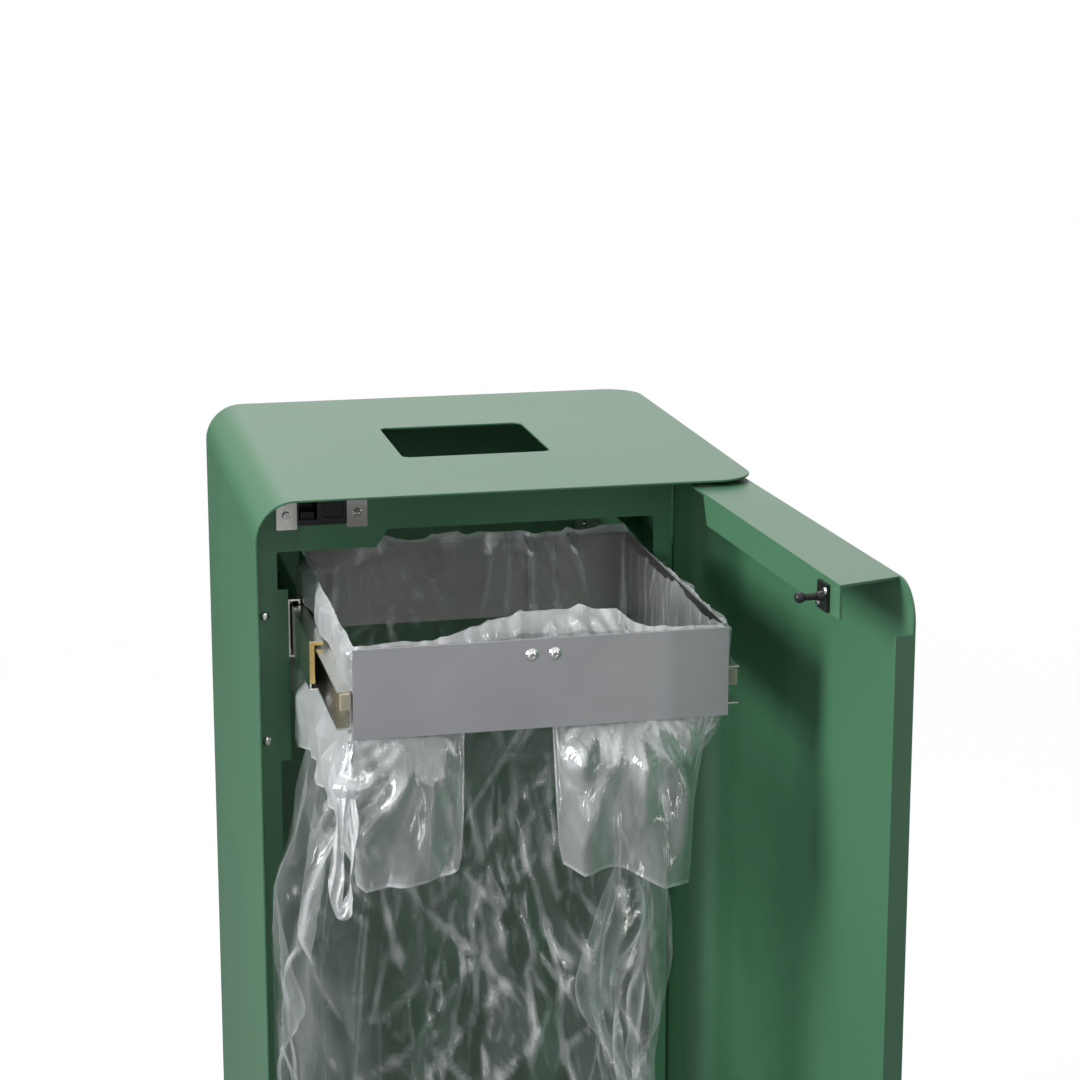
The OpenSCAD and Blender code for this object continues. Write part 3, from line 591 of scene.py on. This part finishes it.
def frameLoop(count, radius):
    # the frame's outline with corners of the given radius, by length along it from the middle of
    # the front, with its outward normals
    half = (ringHigh - ringLow)[:2] / 2
    centre = (ringHigh + ringLow)[:2] / 2
    straight = 2 * (half - radius)
    lengths = np.array([straight[0], radius * math.pi / 2, straight[1], radius * math.pi / 2] * 2)
    ends = np.concatenate([[0], np.cumsum(lengths)])
    along = ((np.arange(count) + 0.5) / count * ends[-1] + straight[0] / 2) % ends[-1]
    side = np.searchsorted(ends, along, side="right") - 1
    share = (along - ends[side]) / lengths[side]
    turn = -math.pi / 2 + (side // 2) * math.pi / 2 + np.where(side % 2 == 1, share * math.pi / 2, 0)
    normal = np.stack([np.cos(turn), np.sin(turn)], axis=-1)
    signs = np.array([[-1, -1], [1, -1], [1, -1], [1, 1], [1, 1], [-1, 1], [-1, 1], [-1, -1]])
    run = np.stack([-np.sin(turn), np.cos(turn)], axis=-1)
    run = run * np.where(side % 2 == 0, share * lengths[side], 0)[:, None]
    return centre + signs[side] * (half - radius) + run + normal * radius, normal


loop, loopNormal = frameLoop(bag["around"], bag["cornerRadius"])
softLoop, softNormal = frameLoop(bag["around"], bag["softRadius"])


def blendLoops(share, z):
    # from the frame's outline to the one with wide corners as share goes from 0 to 1
    flat = loop + share[..., None] * (softLoop - loop)
    normal = loopNormal + share[..., None] * (softNormal - loopNormal)
    normal = normal / np.linalg.norm(normal, axis=-1, keepdims=True)
    normal = np.concatenate([normal, np.zeros(z.shape + (1,))], axis=-1)
    return np.concatenate([flat, z[..., None]], axis=-1), normal


ringTop = ringHigh[2]
ringBottom = ringLow[2]
loopAt = np.concatenate([loop, np.zeros((len(loop), 1))], axis=-1)


loopLength = float(np.linalg.norm(np.roll(loop, -1, 0) - loop, axis=-1).sum())
loopAlong = (np.arange(len(loop)) + 0.5) / len(loop) * loopLength


def creases(along, z, span, seed, count, lengths, widths, depths, lean):
    # straight folds laid at random on the unrolled sleeve: each is a sharp ridge or valley whose
    # height falls off with the distance from its line and fades towards its two ends
    rng = np.random.default_rng(seed)
    height = np.zeros(np.broadcast(along, z).shape)
    for _ in range(count):
        middleAlong, middleZ = rng.uniform(0, loopLength), rng.uniform(*span)
        angle = rng.normal(0, lean)
        length, width = rng.uniform(*lengths), rng.uniform(*widths)
        depth = rng.uniform(*depths) * rng.choice([-1, 1])
        gone = (along - middleAlong + loopLength / 2) % loopLength - loopLength / 2
        down = z - middleZ
        across = gone * math.cos(angle) + down * math.sin(angle)
        run = down * math.cos(angle) - gone * math.sin(angle)
        ends = 1 - smoothStep(np.abs(run), 0.25 * length, 0.6 * length)
        height += depth * np.exp(-np.abs(across) / width) * ends
    return height


def moundAt():
    # 1 where the film rolls up behind the front plate
    across = loop[:, 0] - ringLow[0]
    front = smoothStep(-loopNormal[:, 1], 0.7, 0.95)
    return front * smoothStep(across, *rim["rollStart"]) * (1 - smoothStep(across, *rim["rollEnd"]))


def rimLift():
    # how far the film stands above the frame's edge: small puckers, taller behind, and the front roll
    pucker = ridges(loopAt, rim["puckerSize"], 5) + 0.5 * ridges(loopAt, rim["finePuckerSize"], 6)
    pucker = np.clip(pucker, 0, 2)
    back = smoothStep(loopNormal[:, 1], 0.5, 0.9)
    edge = rim["clear"] + (rim["pucker"] + rim["backPucker"] * back) * pucker
    return edge + moundAt() * (rim["rollHeight"] + rim["rollPucker"] * pucker)


def sheetMesh(name, grid, attributes):
    rows, columns = grid.shape[:2]
    index = np.arange(rows * columns).reshape(rows, columns)
    nextOne = np.roll(index, -1, axis=1)
    quads = np.stack([index[:-1], index[1:], nextOne[1:], nextOne[:-1]], axis=-1).reshape(-1, 4)
    mesh = bpy.data.meshes.new(name)
    mesh.from_pydata(grid.reshape(-1, 3).tolist(), [], quads.tolist())
    for label, values in attributes.items():
        attribute = mesh.attributes.new(label, "FLOAT", "POINT")
        attribute.data.foreach_set("value", values.reshape(-1).astype(np.float32))
    mesh.polygons.foreach_set("use_smooth", np.ones(len(quads), bool))
    mesh.update()
    piece = bpy.data.objects.new(name, mesh)
    bpy.context.scene.collection.objects.link(piece)
    return piece


def soften(height, times):
    # each point averaged with its neighbours, which takes away steps finer than the grid
    for _ in range(times):
        height = (np.roll(height, 1, 1) + 2 * height + np.roll(height, -1, 1)) / 4
        height[1:-1] = (height[2:] + 2 * height[1:-1] + height[:-2]) / 4
    return height


foldMark = {"step": 1.9 * mm, "gentle": 0.42}   # the bend that adds one, and the share of it that shows nothing


def creaseOf(height):
    # how sharply the surface bends at each point, from its neighbours on the grid, between 0 and 1
    around = np.roll(height, 1, 1) + np.roll(height, -1, 1) - 2 * height
    along = np.zeros_like(height)
    along[1:-1] = height[2:] + height[:-2] - 2 * height[1:-1]
    return np.clip((np.abs(around) + np.abs(along)) / foldMark["step"] - foldMark["gentle"], 0, 1)


def sidesOf(normal):
    # how far each point faces left, right, forwards and back, each from 0 to 1
    return [np.clip(sign * normal[..., axis], 0, 1) for axis, sign in ((0, -1), (0, 1), (1, -1), (1, 1))]


def bagSpread(under, below, outside, sides):
    # the big form: out to the left, in at the right with a waist, in at the front and the back
    left, right, front, back = sides
    spread = np.clip((under - bag["bulgeStart"]) / bag["bulgeDrop"], 0, 1)
    waist = 1 - bag["waistShare"] * (1 - np.cos((under - bag["waistPlace"]) / bag["waistLength"]))
    shape = left * spread * bag["leftBulge"] * outside
    shape = shape - right * bag["rightHollow"] * smoothStep(under, *bag["rightStart"]) * waist
    shape = shape - front * bag["frontHollow"] * smoothStep(under, *bag["frontStart"])
    return shape - back * bag["backHollow"] * below


def hangingBag():
    # each row is the frame's loop let down by a drop, moved in or out along its normal:
    # close to the walls inside the frame, then spreading left, hollow at the right and front
    share = np.linspace(0, 1, bag["down"])
    full = ringTop - bagFoot
    ringDepth = ringTop - ringBottom
    drop = full * np.clip(share / bag["hangShare"], 0, 1) ** bag["rowSpacing"]
    z = ringTop - drop[:, None] + rimLift()[None, :] * (1 - smoothStep(drop, 0, rim["fade"]))[:, None]
    opened = smoothStep(drop - ringDepth, *bag["rounding"])[:, None] + np.zeros_like(z)
    base, normal = blendLoops(opened, z)
    sides = sidesOf(normal)
    left, right = sides[:2]
    below = np.broadcast_to(smoothStep(drop - ringDepth, *bag["release"])[:, None], z.shape)
    free = np.broadcast_to(smoothStep(drop, 0.0, 0.02)[:, None], z.shape)
    under = ringBottom - z
    outside = smoothStep(portalFace - base[..., 1], *bag["portalGap"])
    folds = crumple(base, normal, bag["seed"], bag["waves"])
    along = np.broadcast_to(loopAlong, z.shape)
    for group in bag["creases"]:
        folds += creases(along, z, (bagFoot, ringTop), **group)
    folds = soften(folds, 1)
    wander = ridges(base, bag["wanderSize"], 31) * bag["wander"]
    # inside the frame: taut over the right wall, with a roll of loose film behind the front plate
    roll = moundAt()[None, :]
    rollShape = np.exp(-((drop - rim["rollMiddle"]) / rim["rollSpread"]) ** 2)[:, None]
    lining = np.clip(folds * 0.6 + wander * 0.4, 0, bag["liningMost"]) * (1 - bag["tautRight"] * right)
    lining = lining + roll * rim["rollDepth"] * rollShape
    overEdge = bag["wall"] / 2 + roll * rim["rollInset"]
    inside = -(bag["wall"] + bag["wallGap"] + lining) * free - overEdge * (1 - free)
    # below it: calmer at the right, and the spread left side only folds inwards
    roam = folds + wander
    roam = np.where(outside > 0.5, roam, np.minimum(roam, bag["insideLimit"]))
    roam = np.where(roam > 0, roam * (1 - bag["calmRight"] * right), roam)
    leftShare = left * smoothStep(under, *bag["leftStart"])
    roam = roam * (1 - leftShare) - np.abs(roam) * bag["leftFolds"] * leftShare
    hung = bagSpread(under, below, outside, sides) + roam - bag["wall"]
    at = base + normal * (inside * (1 - below) + hung * below)[..., None]
    # the foot narrows and closes on the middle
    centre = ((ringHigh + ringLow) / 2)[:2]
    narrow = 1 - (1 - bag["footNarrowing"]) * smoothStep(drop, full * bag["narrowFrom"], full)
    narrow = narrow * (1 - smoothStep(share, bag["closeFrom"], 1.0))
    at[..., :2] = centre + (at[..., :2] - centre) * narrow[:, None, None]
    at[..., 0] = np.maximum(at[..., 0], bag["leftLimit"])
    # a whiter band just under the rim: painted light
    rimPaintedBand = rim["haze"] * np.exp(-drop / rim["paintedBandDrop"])[:, None] + np.zeros_like(z)
    # the inner bag's attribute: painted highlights along sharp folds plus the painted rim band
    return sheetMesh("wasteBag", at, {"hazeAndHighlight": np.clip(bag["creaseHighlight"] * creaseOf(folds) + rimPaintedBand, 0, 1)})


cuff = {
    # x places measured from the frame's left face; hems measured down from its top edge
    "leftEnd": 0.088, "rightStart": 0.166, "rightEnd": 0.292, "endBlend": 6 * mm,
    "leftHem": 0.200, "rightHem": 0.182, "gapHem": 0.050, "sideHem": 0.140, "backHem": 0.030,
    "slant": 0.24, "uneven": 12 * mm, "unevenSize": (0.055, 0.055, 1),
    "forward": 14 * mm, "sideways": 11 * mm, "rightInwards": 0.6, "lastDrawIn": 0.55, "clear": 3 * mm,
    "rounding": 0.6, "roundingDrop": 90 * mm, "frontRelease": 35 * mm, "sideRelease": 30 * mm,
    "edgeWidth": 22 * mm, "edgeFolds": 0.06,            # the free edges beside the gap lie flat
    "overSlide": (1 * mm, 10 * mm), "overSlideMove": (0.6 * mm, 12 * mm),
    "rearSpan": (30 * mm, 5 * mm), "rearRight": 2.2 * mm, "rearLeft": 20 * mm,   # limits beside the housing
    "waves": [(0.091, 0.0085, 1.8), (0.052, 0.0045, 1.4)],                # length, depth, bend
    "wander": 6.0 * mm, "wanderSize": (0.05, 0.05, 0.12), "longest": 0.14,
    "creases": [
        {"seed": 61, "count": 80, "lengths": (0.06, 0.22), "widths": (0.008, 0.024), "depths": (0.003, 0.010),
            "lean": 0.42},
        {"seed": 62, "count": 90, "lengths": (0.03, 0.08), "widths": (0.003, 0.009), "depths": (0.001, 0.0035),
            "lean": 0.8},
    ],
    "gathers": [(0.058, -0.012, 7), (0.235, 0.010, 8)], "fanDepth": 7.5 * mm,   # x, height, folds of each fan
    # the cuff's haze: partly the film's own whiteness, partly painted light from the lamp on the left
    "haze": 0.42, "creaseHighlight": 0.5, "hemHaze": 0.45, "hemShare": 0.978,
}


def hemDrop():
    # how far down the cuff's hem is at each place of the loop
    across = loop[:, 0] - ringLow[0]
    blend = cuff["endBlend"]
    front = smoothStep(-loopNormal[:, 1], 0.3, 0.9)
    back = smoothStep(loopNormal[:, 1], 0.2, 0.8)
    leftPart = 1 - smoothStep(across - cuff["leftEnd"], -blend, blend)
    rightPart = smoothStep(across - cuff["rightStart"], -blend, blend)
    rightPart = rightPart * (1 - smoothStep(across - cuff["rightEnd"], -blend, blend))
    leftLong = cuff["leftHem"] - cuff["slant"] * across
    rightLong = cuff["rightHem"] + cuff["slant"] * (across - cuff["rightStart"])
    onFront = cuff["gapHem"] + leftPart * (leftLong - cuff["gapHem"]) + rightPart * (rightLong - cuff["gapHem"])
    onSide = np.where(loopNormal[:, 0] < 0, cuff["sideHem"], cuff["gapHem"])
    hem = front * onFront + back * cuff["backHem"] + (1 - front - back) * onSide
    uneven = cuff["uneven"] * ridges(loopAt, cuff["unevenSize"], 41)
    return hem + uneven * smoothStep(hem, 0.07, 0.12)


def fan(x, z, centreX, centreZ, count):
    # folds that spread downwards from one gathered point and fade at both ends
    angle = np.arctan2(x - centreX, centreZ - z + 0.02)
    reach = np.hypot(x - centreX, centreZ - z)
    fade = smoothStep(reach, 0.0, 0.05) * (1 - smoothStep(reach, 0.09, 0.19))
    return cuff["fanDepth"] * foldWave(angle / math.pi * count) * fade


def foldedCuff():
    # from the rim down the frame's outer faces to an uneven hem, flat behind the plate and the
    # slides and puffed out below them
    share = np.linspace(0, 1, bag["cuffDown"])
    drop = share[:, None] * hemDrop()[None, :]
    z = ringTop - drop + rimLift()[None, :] * (1 - smoothStep(drop, 0, rim["fade"]))
    base, normal = blendLoops(cuff["rounding"] * smoothStep(slideLow[2] - z, 0, cuff["roundingDrop"]), z)
    side, front = np.abs(normal[..., 0]), np.clip(-normal[..., 1], 0, 1)
    under = front * smoothStep(ringBottom - z, 0.0, cuff["frontRelease"])
    under = under + side * smoothStep(slideLow[2] - z, 0.0, cuff["sideRelease"])
    across = loop[:, 0] - ringLow[0]
    toGap = np.minimum(across - cuff["rightStart"], cuff["rightEnd"] - across)
    toGap = np.maximum(cuff["leftEnd"] - across, toGap)
    edgeFolds = cuff["edgeFolds"] + (1 - cuff["edgeFolds"]) * smoothStep(toGap, 0.0, cuff["edgeWidth"])
    under = under * np.where(loopNormal[:, 1] < -0.7, edgeFolds, 1)
    over = side * smoothStep(z - slideHigh[2], *cuff["overSlide"])
    over = over * (1 - smoothStep(z, ringTop - 0.003, ringTop + 0.002))
    folds = crumple(base, normal, bag["seed"] + 7, cuff["waves"])
    along = np.broadcast_to(loopAlong, z.shape)
    span = (ringBottom - cuff["longest"], ringTop)
    for group in cuff["creases"]:
        folds += creases(along, z, span, **group)
    folds = soften(folds + ridges(base, cuff["wanderSize"], 51) * cuff["wander"], 2)
    x = base[..., 0] - ringLow[0]
    fans = sum(fan(x, z, centreX, ringBottom + height, count) for centreX, height, count in cuff["gathers"])
    fans = soften(front * fans, 2)
    puff = front * cuff["forward"]
    puff = puff + side * cuff["sideways"] * np.where(normal[..., 0] < 0, 1, -cuff["rightInwards"])
    lastPart = smoothStep(share, 0.55, 1.0)[:, None]
    move = under * (puff * (1 - cuff["lastDrawIn"] * lastPart) + folds + fans + cuff["clear"])
    move = move + over * np.clip(cuff["clear"] + folds * 0.5, *cuff["overSlideMove"])
    rearStart, rearEnd = cuff["rearSpan"]
    rear = smoothStep(base[..., 1] - portalFace, -rearStart, -rearEnd)
    limit = np.where(normal[..., 0] > 0.3, cuff["rearRight"], cuff["rearLeft"])
    move = np.where(rear > 0, np.minimum(move, limit), move)
    # the rim starts above the middle of the wall, further in along the front roll
    overEdge = 1 - smoothStep(drop, 0, 0.004)
    overRoll = (1 - smoothStep(drop, 0, 0.011)) * moundAt()[None, :]
    at = base + normal * (move - overEdge * bag["wall"] / 2 - overRoll * rim["rollInset"])[..., None]
    # the cuff's base whiteness is partly painted light from the lamp on the left
    haze = cuff["haze"] + cuff["hemHaze"] * smoothStep(share, cuff["hemShare"], 1.0)[:, None]
    # the whiter band under the rim is painted light, and sharp folds are whitened as painted highlights
    haze = haze + rim["haze"] * np.exp(-drop / rim["paintedBandDrop"]) + cuff["creaseHighlight"] * creaseOf(folds + fans)
    return sheetMesh("wasteBagCuff", at, {"hazeAndHighlight": np.clip(haze, 0, 1)})


tie = {
    "top": (-5 * mm, -10 * mm, -3 * mm), "drop": 0.128, "loopHalf": 9.5 * mm, "band": 12.5 * mm,
    "lean": 12 * mm, "bow": 26 * mm, "curl": 1.6 * mm, "steps": 180, "haze": 0.85,
}


def tieLoop():
    # a strip of film carried along a closed drop-shaped path and twisted about it
    turn = np.linspace(0, 2 * math.pi, tie["steps"])
    hang = (1 - np.cos(turn)) / 2
    corner = np.array([ringLow[0], ringLow[1], ringBottom]) + np.array(tie["top"])
    path = np.stack([
        corner[0] - tie["lean"] * hang + tie["loopHalf"] * np.sin(turn) * hang,
        corner[1] - tie["bow"] * np.sin(turn / 2) + 0.004 * np.cos(turn),
        corner[2] - tie["drop"] * hang], axis=-1)
    tangent = np.gradient(path, axis=0)
    tangent /= np.linalg.norm(tangent, axis=-1, keepdims=True)
    outward = np.array([0.25, -1, 0.1])
    firstSide = np.cross(tangent, outward)
    firstSide /= np.linalg.norm(firstSide, axis=-1, keepdims=True)
    secondSide = np.cross(tangent, firstSide)
    twist = 0.5 + 1.1 * np.sin(turn) + 0.5 * np.sin(3 * turn + 0.6)
    across = np.linspace(-0.5, 0.5, 9)
    wide = np.cos(twist)[:, None] * firstSide + np.sin(twist)[:, None] * secondSide
    deep = -np.sin(twist)[:, None] * firstSide + np.cos(twist)[:, None] * secondSide
    width = tie["band"] * (0.8 + 0.2 * np.sin(5 * turn))
    curl = tie["curl"] * foldWave(across[None, :] * 1.6 + 0.4 * np.sin(4 * turn)[:, None])
    at = path[:, None] + wide[:, None] * (across[None, :] * width[:, None])[..., None]
    at = at + deep[:, None] * curl[..., None]
    rows, columns = at.shape[:2]
    index = np.arange(rows * columns).reshape(rows, columns)
    quads = np.stack([index[:-1, :-1], index[1:, :-1], index[1:, 1:], index[:-1, 1:]], axis=-1).reshape(-1, 4)
    mesh = bpy.data.meshes.new("bagTieLoop")
    mesh.from_pydata(at.reshape(-1, 3).tolist(), [], quads.tolist())
    haze = np.full(rows * columns, tie["haze"], np.float32)
    mesh.attributes.new("hazeAndHighlight", "FLOAT", "POINT").data.foreach_set("value", haze)
    mesh.polygons.foreach_set("use_smooth", np.ones(len(quads), bool))
    piece = bpy.data.objects.new("bagTieLoop", mesh)
    bpy.context.scene.collection.objects.link(piece)
    return piece


def filmLengths(piece, rows):
    # how long the film is at each place round the sleeve, from its first row to its last over its folds
    points = np.empty(len(piece.data.vertices) * 3)
    piece.data.vertices.foreach_get("co", points)
    steps = np.diff(points.reshape(rows, -1, 3), axis=0)
    return np.linalg.norm(steps, axis=-1).sum(axis=0)


bagPieces = {"inner": hangingBag(), "outer": foldedCuff(), "tie": tieLoop()}
for piece in bagPieces.values():
    piece.data.materials.append(finishes["film"])
    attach(piece, bodyOf["bin_liner"])
    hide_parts("bin_liner")
    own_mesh(piece)

foldedOver = filmLengths(bagPieces["outer"], bag["cuffDown"])
tieLength = float(filmLengths(bagPieces["tie"], tie["steps"]).mean())
